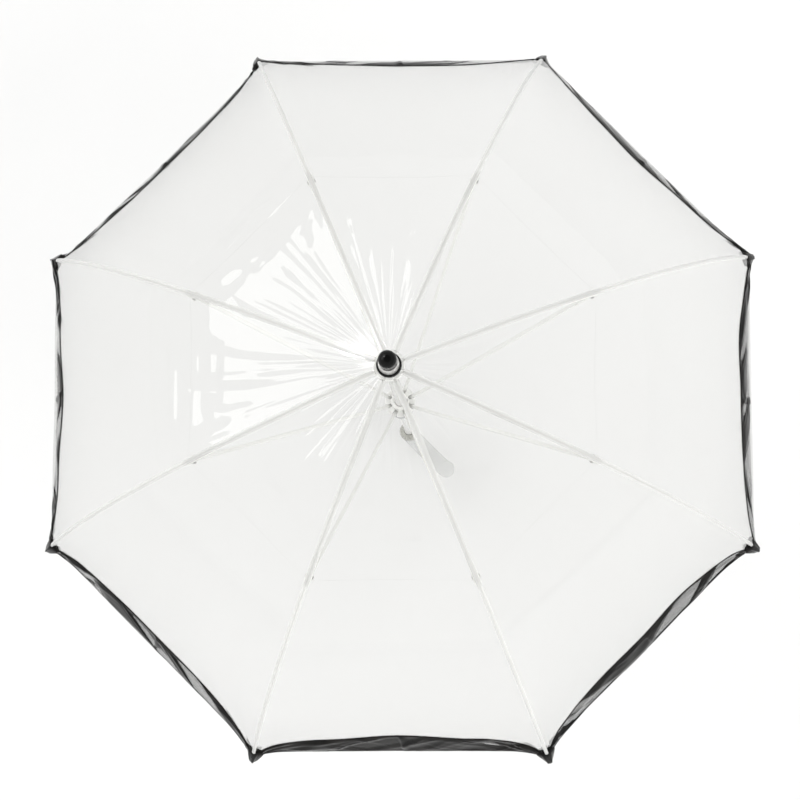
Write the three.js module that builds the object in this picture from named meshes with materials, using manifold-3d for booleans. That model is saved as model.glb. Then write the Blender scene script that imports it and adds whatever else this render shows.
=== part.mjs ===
// A clear dome umbrella on a straight stick, open, with a crook handle.
//
// Millimetres, +Z up. The shaft runs along Z, and the crook's lowest point is at z = 0.
// Eight ribs leave the crown at azimuths 22.5, 67.5, ... degrees, and eight film gores lie
// between them, centred on azimuths 0, 45, ... degrees. Every gore is straight from rib to
// rib, so the rim is an octagon.

import * as THREE from "three";
import { mergeVertices } from "three/addons/utils/BufferGeometryUtils.js";
import Module from "manifold-3d";

const wasm = await Module();
wasm.setup();

const radians = THREE.MathUtils.degToRad;

// ---------------------------------------------------------------- driving dimensions

const RIBS = 8;
const PITCH = radians(360 / RIBS);
const HALF_PITCH = PITCH / 2;
const CLEARANCE = 0.3; // between pieces that touch

const CROWN_Z = 850; // the plane just above the film at the crown

// The ribs' outer edge is one circular arc, measured by its slope below the horizontal.
const ARC_RADIUS = 568;
const ARC_START = { radius: 11, drop: 10, slope: radians(12) };
const JOINT_RADIUS = 215; // where the stretcher meets the rib
const TIP_SLOPE = radians(71);
const HEM_END_SLOPE = radians(70.3);
const HEM_HEIGHT = 50;

const RIB = { width: 4.4, height: 4, wall: 0.8, tongueShare: 0.5, steps: 6 };
const ROD = { radius: 1.6, depth: 2.2, sides: 8, steps: 10 };
const TIP = { radius: 3, length: 12, neck: 2 };

const FILM = { inner: 1.4, thickness: 0.8, start: 16, sideGap: 0.35, endGap: 0.25 };
const HEM_THICKNESS = 1.2;

const STRETCHER = { width: 3.2, height: 4.4, jointDepth: 6.6, sleeveGap: 1 };

const SHAFT = { radius: 5.5, bore: 4.6, top: CROWN_Z + 24, bottom: 52 };
const BORE = SHAFT.radius + CLEARANCE; // of every piece that the shaft passes through

const HUB = { radius: 14.5, top: CROWN_Z - 6, bottom: CROWN_Z - 16.5, notch: 3.2, web: 7.4 };

const RUNNER = {
  pivotRadius: 13,
  pivotZ: CROWN_Z - 360,
  radius: 10,
  flangeRadius: 17,
  flangeHalf: 6,
  above: 10,
  below: 50,
  notch: 4.4,
};
const GRIP = { radius: 12.6, ringRadius: 13.8, top: RUNNER.pivotZ - 20, bottom: RUNNER.pivotZ - 62 };

const CATCH = { width: 3, height: 11, inner: 1.5, shoulder: 5.5, reach: 8 };
const CATCH_GAP = 0.4;
const CATCH_Z = { top: GRIP.bottom - 1 - CATCH.height, bottom: 243 };

const COLLAR = { radius: 13, flutes: 20, fluteDepth: 1.1, bottom: 66, top: 90 };
const CROOK = { radius: 11, bend: 35, azimuth: radians(-45), toeRise: 26, shoulder: 12 };
const CROOK_TOP = COLLAR.bottom - CLEARANCE;
const CROOK_CENTRE_Z = CROOK.bend + CROOK.radius;

// ---------------------------------------------------------------- materials

const finish = (color, roughness, metalness = 0, opacity = 1) =>
  new THREE.MeshStandardMaterial({
    color,
    roughness,
    metalness,
    opacity,
    transparent: opacity < 1,
  });

const material = {
  film: finish(0xf2f4f5, 0.12, 0, 0.25),
  hem: finish(0x0b0b0c, 0.18),
  whitePaint: finish(0xf1f1ef, 0.35),
  whitePlastic: finish(0xe9e9e6, 0.4),
  greyPlastic: finish(0xa9abad, 0.4),
  clearPlastic: finish(0xe8ebec, 0.1, 0, 0.5),
  blackPlastic: finish(0x08080a, 0.15),
  smokePlastic: finish(0x8a8a86, 0.35),
  frostedPlastic: finish(0xd8dad8, 0.35, 0, 0.5),
  silver: finish(0xc9c9c7, 0.3, 1),
  steel: finish(0x9a9a9c, 0.35, 1),
};

// ---------------------------------------------------------------- geometry helpers

// Turns the faces round if they point inwards.
function facingOut(geometry) {
  const position = geometry.getAttribute("position");
  const index = geometry.index;
  const [a, b, c] = [new THREE.Vector3(), new THREE.Vector3(), new THREE.Vector3()];
  let volume = 0;
  for (let i = 0; i < index.count; i += 3) {
    a.fromBufferAttribute(position, index.getX(i));
    b.fromBufferAttribute(position, index.getX(i + 1));
    c.fromBufferAttribute(position, index.getX(i + 2));
    volume += a.dot(b.cross(c));
  }
  if (volume < 0) {
    for (let i = 0; i < index.count; i += 3) {
      const first = index.getX(i);
      index.setX(i, index.getX(i + 1));
      index.setX(i + 1, first);
    }
  }
  return geometry;
}

// Keeps the positions only, with shared vertices merged.
function merged(geometry) {
  const bare = geometry.clone();
  bare.deleteAttribute("normal");
  bare.deleteAttribute("uv");
  return facingOut(mergeVertices(bare, 1e-4));
}

// A closed skin over rings of equally many points; caps holds the triangles of one end ring.
function loft(rings, caps) {
  const size = rings[0].length;
  const points = rings.flat();
  const faces = [];
  for (let k = 0; k + 1 < rings.length; k++) {
    for (let i = 0; i < size; i++) {
      const j = (i + 1) % size;
      const [p, q] = [k * size + i, k * size + j];
      faces.push(p, q, q + size, p, q + size, p + size);
    }
  }
  const last = (rings.length - 1) * size;
  for (const [i, j, k] of caps) {
    faces.push(i, k, j, last + i, last + j, last + k);
  }
  const geometry = new THREE.BufferGeometry().setFromPoints(points);
  geometry.setIndex(faces);
  return facingOut(geometry);
}

// Sweeps a section of [across, up] points through stations, which place one such point.
function sweep(section, stations) {
  const outline = section.map(([x, y]) => new THREE.Vector2(x, y));
  const caps = THREE.ShapeUtils.triangulateShape(outline, []);
  const rings = stations.map((place) => section.map(([x, y]) => place(x, y)));
  return loft(rings, caps);
}

// Revolves [radius, z] points about the Z axis.
function turned(profile, segments = 24) {
  const points = profile.map(([radius, z]) => new THREE.Vector2(radius, z));
  return merged(new THREE.LatheGeometry(points, segments).rotateX(Math.PI / 2));
}

// A turned ring with the shaft's bore through it; outer lists its outside from bottom to top.
function ring(outer, segments = 24) {
  const bottom = outer[0][1];
  const top = outer[outer.length - 1][1];
  return turned([[BORE, bottom], ...outer, [BORE, top], [BORE, bottom]], segments);
}

function circle(radius, sides) {
  const angles = Array.from({ length: sides }, (_, i) => (i / sides) * 2 * Math.PI);
  return angles.map((angle) => [radius * Math.cos(angle), radius * Math.sin(angle)]);
}

function solid(geometry) {
  const { attributes, index } = merged(geometry);
  return new wasm.Manifold(
    new wasm.Mesh({
      numProp: 3,
      vertProperties: attributes.position.array,
      triVerts: new Uint32Array(index.array),
    }),
  );
}

function subtract(geometry, cutters) {
  const left = cutters.reduce((body, cutter) => body.subtract(solid(cutter)), solid(geometry));
  const { numProp, vertProperties, triVerts } = left.getMesh();
  const result = new THREE.BufferGeometry();
  const buffer = new THREE.InterleavedBuffer(vertProperties, numProp);
  result.setAttribute("position", new THREE.InterleavedBufferAttribute(buffer, 3, 0));
  result.setIndex(Array.from(triVerts));
  return result;
}

// A box from one radius to another along +X, turned to an azimuth.
function radialBox(from, to, width, bottom, top, azimuth) {
  const box = new THREE.BoxGeometry(to - from, width, top - bottom);
  return box.translate((from + to) / 2, 0, (bottom + top) / 2).rotateZ(azimuth);
}

// ---------------------------------------------------------------- the ribs' arc

// A point at a slope of the arc, moved outwards along its normal.
function onArc(slope, outwards = 0) {
  const { radius, drop, slope: start } = ARC_START;
  return {
    radius: radius + ARC_RADIUS * (Math.sin(slope) - Math.sin(start)) + outwards * Math.sin(slope),
    z: CROWN_Z - drop - ARC_RADIUS * (Math.cos(start) - Math.cos(slope)) + outwards * Math.cos(slope),
  };
}

function slopeAtRadius(radius) {
  return Math.asin(Math.sin(ARC_START.slope) + (radius - ARC_START.radius) / ARC_RADIUS);
}

function slopesBetween(first, last, steps) {
  return Array.from({ length: steps + 1 }, (_, i) => first + ((last - first) * i) / steps);
}

const JOINT_SLOPE = slopeAtRadius(JOINT_RADIUS);
const HEM_START_SLOPE = HEM_END_SLOPE - HEM_HEIGHT / ARC_RADIUS;

// A station of a sweep along the arc in the rib's own plane, X outwards and Y across.
function ribStation(slope, share = 1) {
  return (across, up) => {
    const { radius, z } = onArc(slope, up);
    return new THREE.Vector3(radius, across * share, z);
  };
}

// ---------------------------------------------------------------- crown and ferrule

function crownHub() {
  const body = ring([
    [HUB.radius, HUB.bottom],
    [HUB.radius, HUB.top],
  ]);
  const notches = Array.from({ length: RIBS }, (_, i) =>
    radialBox(HUB.web, HUB.radius + 5, HUB.notch, HUB.bottom - 1, HUB.top - 1, (i + 0.5) * PITCH),
  );
  return subtract(body, notches);
}

function crownWasher() {
  return ring([
    [15, CROWN_Z - 5.6],
    [15, CROWN_Z - 4.1],
  ]);
}

function ferruleBase() {
  return ring([
    [11.2, CROWN_Z - 3.8],
    [12, CROWN_Z - 3],
    [12, CROWN_Z + 1.5],
    [10.6, CROWN_Z + 3.7],
  ]);
}

function ferruleCollar() {
  return ring([
    [10, CROWN_Z + 4],
    [9.2, CROWN_Z + 25.7],
  ]);
}

// A plain drum under a dome with a small flat top.
function ferruleCap() {
  const bottom = CROWN_Z + 26;
  const domeCentre = CROWN_Z + 42;
  const radius = 8.6;
  const dome = Array.from({ length: 6 }, (_, i) => radians(i * 14));
  return turned([
    [0, bottom],
    [radius - 0.4, bottom],
    ...dome.map((angle) => [radius * Math.cos(angle), domeCentre + radius * Math.sin(angle)]),
    [0, domeCentre + radius * Math.sin(dome[dome.length - 1])],
  ]);
}

// ---------------------------------------------------------------- shaft, catches and runner

function shaft() {
  const { radius, bore, bottom, top } = SHAFT;
  const tube = turned([
    [bore, bottom],
    [radius, bottom],
    [radius, top],
    [bore, top],
    [bore, bottom],
  ]);
  const slots = Object.values(CATCH_Z).map((z) =>
    radialBox(1, 10, CATCH.width + 2 * CATCH_GAP, z - CATCH_GAP, z + CATCH.height + CATCH_GAP, 0),
  );
  return subtract(tube, slots);
}

// A press catch: square at the top, where the runner sits on it, and sloped below.
function catchAt(z) {
  const outline = new THREE.Shape([
    new THREE.Vector2(CATCH.inner, 0),
    new THREE.Vector2(CATCH.shoulder, 0),
    new THREE.Vector2(CATCH.reach, CATCH.height - 3),
    new THREE.Vector2(CATCH.reach, CATCH.height),
    new THREE.Vector2(CATCH.inner, CATCH.height),
  ]);
  const wedge = new THREE.ExtrudeGeometry(outline, { depth: CATCH.width, bevelEnabled: false });
  wedge.translate(0, 0, -CATCH.width / 2).rotateX(Math.PI / 2).translate(0, 0, z);
  return merged(wedge);
}

function keyway(bottom, top) {
  const width = CATCH.width + 2 * CATCH_GAP;
  return radialBox(1, CATCH.reach + CATCH_GAP, width, bottom - 1, top + 1, 0);
}

function runner() {
  const { pivotZ, radius, flangeRadius, flangeHalf, above, below, notch } = RUNNER;
  const bottom = pivotZ - below;
  const top = pivotZ + above;
  const body = ring([
    [radius, bottom],
    [radius, pivotZ - flangeHalf],
    [flangeRadius, pivotZ - flangeHalf],
    [flangeRadius, pivotZ + flangeHalf],
    [radius, pivotZ + flangeHalf],
    [radius, top],
  ]);
  const notches = Array.from({ length: RIBS }, (_, i) =>
    radialBox(
      radius,
      flangeRadius + 2,
      notch,
      pivotZ - flangeHalf - 1,
      pivotZ + flangeHalf + 1,
      (i + 0.5) * PITCH,
    ),
  );
  return subtract(body, [keyway(bottom, top), ...notches]);
}

// A sleeve round the runner's lower end, with a raised ring at each end to push on.
function runnerGrip() {
  const bore = RUNNER.radius + CLEARANCE;
  const { radius, ringRadius, bottom, top } = GRIP;
  return turned([
    [bore, bottom],
    [ringRadius, bottom],
    [ringRadius, bottom + 4],
    [radius, bottom + 6],
    [radius, top - 6],
    [ringRadius, top - 4],
    [ringRadius, top],
    [bore, top],
    [bore, bottom],
  ]);
}

// ---------------------------------------------------------------- handle

function handleCollar() {
  const { radius, flutes, fluteDepth, bottom, top } = COLLAR;
  const outline = new THREE.Shape();
  for (let i = 0; i < 2 * flutes; i++) {
    const angle = (i / (2 * flutes)) * 2 * Math.PI;
    const reach = i % 2 ? radius - fluteDepth : radius;
    const point = [reach * Math.cos(angle), reach * Math.sin(angle)];
    if (i === 0) outline.moveTo(...point);
    else outline.lineTo(...point);
  }
  outline.closePath();
  const bore = new THREE.Path().absarc(0, 0, BORE, 0, 2 * Math.PI, true);
  outline.holes.push(bore);
  const tube = new THREE.ExtrudeGeometry(outline, {
    depth: top - bottom,
    bevelEnabled: false,
    curveSegments: 12,
  });
  return merged(tube.translate(0, 0, bottom));
}

// The crook runs down its neck, round half a circle and up to a rounded toe. The shaft
// stands in a blind socket in the neck.
function handle() {
  const { radius, bend, toeRise, shoulder } = CROOK;
  const section = circle(1, 16);
  const ringAt = (x, z, turn, size) => (across, up) =>
    new THREE.Vector3(x + size * up * Math.cos(turn), size * across, z + size * up * Math.sin(turn));
  const socketFloor = SHAFT.bottom - CLEARANCE;
  const stations = [
    ringAt(0, socketFloor, 0, BORE),
    ringAt(0, CROOK_TOP, 0, BORE),
    ringAt(0, CROOK_TOP, 0, radius + 0.6),
    ringAt(0, CROOK_TOP - shoulder, 0, radius),
  ];
  for (const angle of slopesBetween(0, Math.PI, 12)) {
    const x = bend - bend * Math.cos(angle);
    const z = CROOK_CENTRE_Z - bend * Math.sin(angle);
    stations.push(ringAt(x, z, -angle, radius));
  }
  const toeZ = CROOK_CENTRE_Z + toeRise;
  stations.push(ringAt(2 * bend, toeZ - 8, -Math.PI, radius));
  stations.push(ringAt(2 * bend, toeZ - 3, -Math.PI, radius * 0.85));
  stations.push(ringAt(2 * bend, toeZ, -Math.PI, radius * 0.45));
  return sweep(section, stations).rotateZ(CROOK.azimuth);
}

// ---------------------------------------------------------------- ribs and stretchers

// A channel, open inwards, with a narrow tongue in the hub.
function ribUpper() {
  const { width, height, wall, tongueShare, steps } = RIB;
  const half = width / 2;
  const section = [
    [-half, 0],
    [-half, -height],
    [wall - half, -height],
    [wall - half, -wall],
    [half - wall, -wall],
    [half - wall, -height],
    [half, -height],
    [half, 0],
  ];
  const tongueStart = ARC_START.slope - 2.5 / ARC_RADIUS;
  const tongueEnd = slopeAtRadius(HUB.radius + 2);
  const fullWidth = slopeAtRadius(HUB.radius + 6);
  const jointEnd = JOINT_SLOPE - STRETCHER.sleeveGap / ARC_RADIUS;
  const stations = [
    ribStation(tongueStart, tongueShare),
    ribStation(tongueEnd, tongueShare),
    ...slopesBetween(fullWidth, jointEnd, steps).map((slope) => ribStation(slope)),
  ];
  return sweep(section, stations);
}

// A thin round rod that ends in a moulded tip.
function ribLower() {
  const section = circle(1, ROD.sides);
  const station = (slope, radius) => (across, up) => {
    const { radius: out, z } = onArc(slope, up * radius - ROD.depth);
    return new THREE.Vector3(out, across * radius, z);
  };
  const start = JOINT_SLOPE + STRETCHER.sleeveGap / ARC_RADIUS;
  const neck = TIP_SLOPE - (TIP.length + TIP.neck) / ARC_RADIUS;
  const shoulder = TIP_SLOPE - TIP.length / ARC_RADIUS;
  const bulb = TIP_SLOPE - 2 / ARC_RADIUS;
  const stations = slopesBetween(start, neck, ROD.steps).map((slope) => station(slope, ROD.radius));
  stations.push(station(shoulder, TIP.radius * 0.8));
  stations.push(station(bulb, TIP.radius));
  stations.push(station(TIP_SLOPE, TIP.radius * 0.5));
  return sweep(section, stations);
}

// A flat bar with round ends, from under the rib's joint to the runner.
function stretcher() {
  const joint = onArc(JOINT_SLOPE, -STRETCHER.jointDepth);
  const across = RUNNER.pivotRadius - joint.radius;
  const down = RUNNER.pivotZ - joint.z;
  const length = Math.hypot(across, down);
  const half = STRETCHER.height / 2;
  const outline = new THREE.Shape();
  outline.absarc(0, 0, half, Math.PI / 2, (3 * Math.PI) / 2);
  outline.absarc(length, 0, half, -Math.PI / 2, Math.PI / 2);
  outline.closePath();
  const bar = new THREE.ExtrudeGeometry(outline, {
    depth: STRETCHER.width,
    bevelEnabled: false,
    curveSegments: 5,
  });
  bar.translate(0, 0, -STRETCHER.width / 2).rotateX(Math.PI / 2);
  bar.rotateY(-Math.atan2(down, across)).translate(joint.radius, 0, joint.z);
  return merged(bar);
}

// ---------------------------------------------------------------- film gores

// One panel of a gore between two slopes, centred on +X and straight across.
function panel(first, last, steps, thickness) {
  const { inner, sideGap } = FILM;
  const corner = (slope, outwards, side) => {
    const { radius, z } = onArc(slope, outwards);
    const x = radius * Math.cos(HALF_PITCH);
    const y = x * Math.tan(HALF_PITCH) - sideGap;
    return new THREE.Vector3(x, side * y, z);
  };
  const rings = slopesBetween(first, last, steps).map((slope) => [
    corner(slope, inner, -1),
    corner(slope, inner, 1),
    corner(slope, inner + thickness, 1),
    corner(slope, inner + thickness, -1),
  ]);
  const caps = [
    [0, 1, 2],
    [0, 2, 3],
  ];
  return loft(rings, caps);
}

const END_GAP = FILM.endGap / ARC_RADIUS;

function canopyUpper() {
  return panel(slopeAtRadius(FILM.start), JOINT_SLOPE - END_GAP, RIB.steps, FILM.thickness);
}

function canopyLower() {
  return panel(JOINT_SLOPE + END_GAP, HEM_START_SLOPE - END_GAP, ROD.steps, FILM.thickness);
}

function hemBand() {
  return panel(HEM_START_SLOPE + END_GAP, HEM_END_SLOPE, 2, HEM_THICKNESS);
}

// ---------------------------------------------------------------- assembly

const umbrella = new THREE.Group();

function add(name, geometry, look, azimuth = 0) {
  const mesh = new THREE.Mesh(geometry, look);
  mesh.name = name;
  mesh.rotation.z = azimuth;
  umbrella.add(mesh);
}

add("ferrule_cap", ferruleCap(), material.blackPlastic);
add("ferrule_collar", ferruleCollar(), material.silver);
add("ferrule_base", ferruleBase(), material.blackPlastic);
add("crown_washer", crownWasher(), material.clearPlastic);
add("crown_hub", crownHub(), material.whitePlastic);
add("shaft", shaft(), material.whitePaint);
add("runner", runner(), material.whitePlastic);
add("runner_grip", runnerGrip(), material.greyPlastic);
add("catch_top", catchAt(CATCH_Z.top), material.steel);
add("catch_bottom", catchAt(CATCH_Z.bottom), material.steel);
add("handle_collar", handleCollar(), material.smokePlastic);
add("handle", handle(), material.frostedPlastic);

for (let i = 0; i < RIBS; i++) {
  const ribAzimuth = (i + 0.5) * PITCH;
  const goreAzimuth = i * PITCH;
  const number = i + 1;
  add(`rib_upper_${number}`, ribUpper(), material.whitePaint, ribAzimuth);
  add(`rib_lower_${number}`, ribLower(), material.whitePaint, ribAzimuth);
  add(`stretcher_${number}`, stretcher(), material.whitePaint, ribAzimuth);
  add(`canopy_upper_${number}`, canopyUpper(), material.film, goreAzimuth);
  add(`canopy_lower_${number}`, canopyLower(), material.film, goreAzimuth);
  add(`hem_band_${number}`, hemBand(), material.hem, goreAzimuth);
}

export default umbrella;
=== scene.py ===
"""Looks of a clear dome umbrella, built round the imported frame.

Metres, +Z up, in the frame of the CAD. Rib i stands at azimuth (i + 0.5) * PITCH and gore i
is centred on azimuth i * PITCH. A place on the dome is given by its slope: the angle of the
ribs' arc below the horizontal there, as in the CAD.
"""

import math

import bmesh
import bpy
import numpy as np
from mathutils import Matrix, Vector


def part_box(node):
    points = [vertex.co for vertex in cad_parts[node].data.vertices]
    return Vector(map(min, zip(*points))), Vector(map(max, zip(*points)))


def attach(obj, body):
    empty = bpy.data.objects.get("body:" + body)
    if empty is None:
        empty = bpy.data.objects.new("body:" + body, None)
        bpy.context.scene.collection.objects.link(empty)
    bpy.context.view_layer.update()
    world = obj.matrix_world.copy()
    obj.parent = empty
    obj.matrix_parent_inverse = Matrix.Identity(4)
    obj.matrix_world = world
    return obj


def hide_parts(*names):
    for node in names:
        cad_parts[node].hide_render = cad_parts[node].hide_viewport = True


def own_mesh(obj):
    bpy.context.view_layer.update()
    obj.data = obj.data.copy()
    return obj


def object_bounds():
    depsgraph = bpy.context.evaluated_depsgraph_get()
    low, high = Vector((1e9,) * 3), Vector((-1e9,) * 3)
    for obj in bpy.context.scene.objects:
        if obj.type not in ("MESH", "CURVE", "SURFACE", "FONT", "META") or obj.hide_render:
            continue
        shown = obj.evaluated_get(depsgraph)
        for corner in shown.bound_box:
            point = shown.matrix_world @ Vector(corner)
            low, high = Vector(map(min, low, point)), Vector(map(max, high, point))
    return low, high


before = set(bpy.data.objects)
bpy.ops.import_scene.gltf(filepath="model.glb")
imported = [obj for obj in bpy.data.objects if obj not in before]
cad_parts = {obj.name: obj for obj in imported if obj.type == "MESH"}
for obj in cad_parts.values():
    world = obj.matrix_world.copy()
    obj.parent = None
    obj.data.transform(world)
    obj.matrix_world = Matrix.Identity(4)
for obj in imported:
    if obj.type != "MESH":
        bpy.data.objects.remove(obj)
cad_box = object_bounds()

# ---------------------------------------------------------------- dimensions

MM = 0.001
RIBS = 8
PITCH = 2 * math.pi / RIBS
HALF_PITCH = PITCH / 2

# The dome: the ribs' outer edge is one arc, measured by its slope below the horizontal.
CROWN_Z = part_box("crown_hub")[1].z + 6 * MM
ARC_RADIUS = 568 * MM
ARC_START_RADIUS = 11 * MM
ARC_START_DROP = 10 * MM
ARC_START_SLOPE = math.radians(12)
JOINT_RADIUS = 215 * MM
TIP_SLOPE = math.radians(71)
HEM_END_SLOPE = math.radians(70.3)
FILM_OFFSET = 1.8 * MM  # the film's middle, outside the ribs' outer edge
FILM_THICKNESS = 0.3 * MM
HEM_HEIGHT = 50 * MM
HEM_THICKNESS = 1.3 * MM
WELD_WIDTH = 6.6 * MM
FILM_START_RADIUS = 14 * MM  # where the film begins at the crown

SHAFT_RADIUS = 5.5 * MM
SHAFT_BORE = 4.6 * MM
BORE = 5.8 * MM  # of every piece that the shaft passes through
KEYWAY_HALF = 1.9 * MM  # half the width of the keyway and of the catches' slots
KEYWAY_DEPTH = 8.4 * MM
PIVOT_Z = (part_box("runner")[0].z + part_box("runner")[1].z) / 2 + 20 * MM
RUNNER_FLANGE_RADIUS = 17 * MM
STRETCHER_FOOT_RADIUS = 13 * MM
STRETCHER_DEPTH = 6.6 * MM

FILM_STEP = 3 * MM  # the film's mesh size below the joints
FINE_STEP = 2 * MM  # and above them
# In mm for each gore: how far its hem tucks in towards the lower edge, and how far its rim is
# drawn in between the tips.
HEM_LEAN = [4.4, 3, 3, 3, 4.4, 1.4, 0, 0.6]
RIM_SAG = [1.6, 1.4, 2, 8, 3, 7.6, 11.4, 10.8]
GATHERS = 14  # creases from the crown on each gore
CROSS_CREASES = 9  # creases across each gore about the joint line


def slope_at_radius(radius):
    return math.asin(math.sin(ARC_START_SLOPE) + (radius - ARC_START_RADIUS) / ARC_RADIUS)


JOINT_SLOPE = slope_at_radius(JOINT_RADIUS)
FILM_START_SLOPE = slope_at_radius(FILM_START_RADIUS)


def on_arc(slope, outwards=0.0):
    """(radius, z) of a point at a slope of the arc, moved outwards along its normal."""
    radius = ARC_START_RADIUS + ARC_RADIUS * (np.sin(slope) - math.sin(ARC_START_SLOPE))
    z = CROWN_Z - ARC_START_DROP - ARC_RADIUS * (math.cos(ARC_START_SLOPE) - np.cos(slope))
    return radius + outwards * np.sin(slope), z + outwards * np.cos(slope)


# ---------------------------------------------------------------- camera, floor and light


def look(thing, target, up=(0, 0, 1)):
    """Turns a camera or lamp to face the target, with its top towards up."""
    back = (thing.location - Vector(target)).normalized()
    right = Vector(up).cross(back).normalized()
    thing.rotation_euler = Matrix((right, back.cross(right), back)).transposed().to_euler()


CAMERA_PLACE = (0.0602, -0.1982, 2.5583)
CAMERA_TARGET = (-0.0008, 0.0040, 0.47)
LENS = 83.56  # mm, on a 36 mm sensor


def make_camera():
    data = bpy.data.cameras.new("camera")
    data.sensor_width = 36
    data.lens = LENS
    camera = bpy.data.objects.new("camera", data)
    bpy.context.scene.collection.objects.link(camera)
    camera.location = CAMERA_PLACE
    look(camera, CAMERA_TARGET, (0, 1, 0))
    bpy.context.scene.camera = camera


def area_light(name, azimuth, elevation, distance, size, power):
    """A rectangular lamp that faces the dome, from a direction in degrees."""
    data = bpy.data.lights.new(name, "AREA")
    data.shape = "RECTANGLE"
    data.size, data.size_y = size
    data.energy = power
    lamp = bpy.data.objects.new(name, data)
    bpy.context.scene.collection.objects.link(lamp)
    a, e = math.radians(azimuth), math.radians(elevation)
    target = Vector((0, 0, 0.6))
    away = Vector((math.cos(e) * math.cos(a), math.cos(e) * math.sin(a), math.sin(e)))
    lamp.location = target + distance * away
    look(lamp, target)
    return lamp


def make_lights():
    area_light("softbox", 150, 35, 8.0, (9.2, 5.8), 395)
    glint = area_light("glint", 137, 54, 5.0, (0.9, 0.9), 240)
    glint.visible_diffuse = False
    fill = area_light("fill", -38, 38, 7.0, (5.8, 5.8), 355)
    fill.visible_glossy = False
    world = bpy.data.worlds.new("studio")
    bpy.context.scene.world = world
    world.use_nodes = True
    tree = world.node_tree
    # Pale walls under a darker ceiling.
    place = tree.nodes.new("ShaderNodeTexCoord")
    split = tree.nodes.new("ShaderNodeSeparateXYZ")
    height = tree.nodes.new("ShaderNodeMapRange")
    height.interpolation_type = "SMOOTHSTEP"
    height.inputs["From Min"].default_value = 0.55
    height.inputs["From Max"].default_value = 1.0
    height.inputs["To Min"].default_value = 1.08
    height.inputs["To Max"].default_value = 0.22
    tree.links.new(place.outputs["Generated"], split.inputs["Vector"])
    tree.links.new(split.outputs["Z"], height.inputs["Value"])
    tree.links.new(height.outputs["Result"], tree.nodes["Background"].inputs["Strength"])
    tree.nodes["Background"].inputs["Color"].default_value = (1.0, 1.0, 0.99, 1)


def make_floor():
    mesh = bpy.data.meshes.new("floor")
    half = 8.0
    corners = [(-half, -half, 0), (half, -half, 0), (half, half, 0), (-half, half, 0)]
    mesh.from_pydata(corners, [], [(0, 1, 2, 3)])
    floor = bpy.data.objects.new("floor", mesh)
    bpy.context.scene.collection.objects.link(floor)
    floor.location.z = cad_box[0][2] - 2 * MM
    mesh.materials.append(floor_material())


# ---------------------------------------------------------------- materials


class Nodes:
    """Short calls for building one material's nodes."""

    def __init__(self, name):
        self.material = bpy.data.materials.new(name)
        self.material.use_nodes = True
        self.tree = self.material.node_tree
        self.shader = self.tree.nodes["Principled BSDF"]
        self.output = self.tree.nodes["Material Output"]

    def add(self, kind, **settings):
        node = self.tree.nodes.new(kind)
        for key, value in settings.items():
            setattr(node, key, value)
        return node

    def link(self, source, target):
        self.tree.links.new(source, target)

    def set(self, **values):
        for key, value in values.items():
            self.shader.inputs[key.replace("_", " ")].default_value = value

    def place(self, scale=(1, 1, 1)):
        """Object coordinates, stretched."""
        coordinates = self.add("ShaderNodeTexCoord")
        mapping = self.add("ShaderNodeMapping")
        mapping.inputs["Scale"].default_value = scale
        self.link(coordinates.outputs["Object"], mapping.inputs["Vector"])
        return mapping.outputs["Vector"]

    def noise(self, scale, detail=3.0, roughness=0.5, stretch=(1, 1, 1), distortion=0.0):
        node = self.add("ShaderNodeTexNoise")
        self.link(self.place(stretch), node.inputs["Vector"])
        node.inputs["Scale"].default_value = scale
        node.inputs["Detail"].default_value = detail
        node.inputs["Roughness"].default_value = roughness
        node.inputs["Distortion"].default_value = distortion
        return node.outputs["Fac"]

    def ramp(self, factor, low, high, first=0.3, last=0.7):
        """Maps a factor between two grey levels or two colours."""
        node = self.add("ShaderNodeValToRGB")
        for element, value, place in zip(node.color_ramp.elements, (low, high), (first, last)):
            colour = value if isinstance(value, tuple) else (value, value, value)
            element.color = (*colour, 1)
            element.position = place
        self.link(factor, node.inputs["Fac"])
        return node.outputs["Color"]

    def mirror(self, face_on, normal, power=5.0):
        """The share of light that a glossy skin mirrors, the same from both of its sides."""
        weight = self.add("ShaderNodeLayerWeight")
        weight.inputs["Blend"].default_value = 0.5
        self.link(normal, weight.inputs["Normal"])
        steep = self.add("ShaderNodeMath", operation="POWER")
        steep.inputs[1].default_value = power
        self.link(weight.outputs["Facing"], steep.inputs[0])
        share = self.add("ShaderNodeMapRange")
        share.inputs["To Min"].default_value = face_on
        self.link(steep.outputs[0], share.inputs["Value"])
        return share.outputs["Result"]

    def bump(self, height, strength, distance, normal=None):
        node = self.add("ShaderNodeBump")
        node.inputs["Strength"].default_value = strength
        node.inputs["Distance"].default_value = distance
        self.link(height, node.inputs["Height"])
        if normal is not None:
            self.link(normal, node.inputs["Normal"])
        return node.outputs["Normal"]


def floor_material():
    n = Nodes("floor_white")
    n.set(Base_Color=(0.76, 0.76, 0.76, 1), Roughness=0.9)
    return n.material


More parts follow.
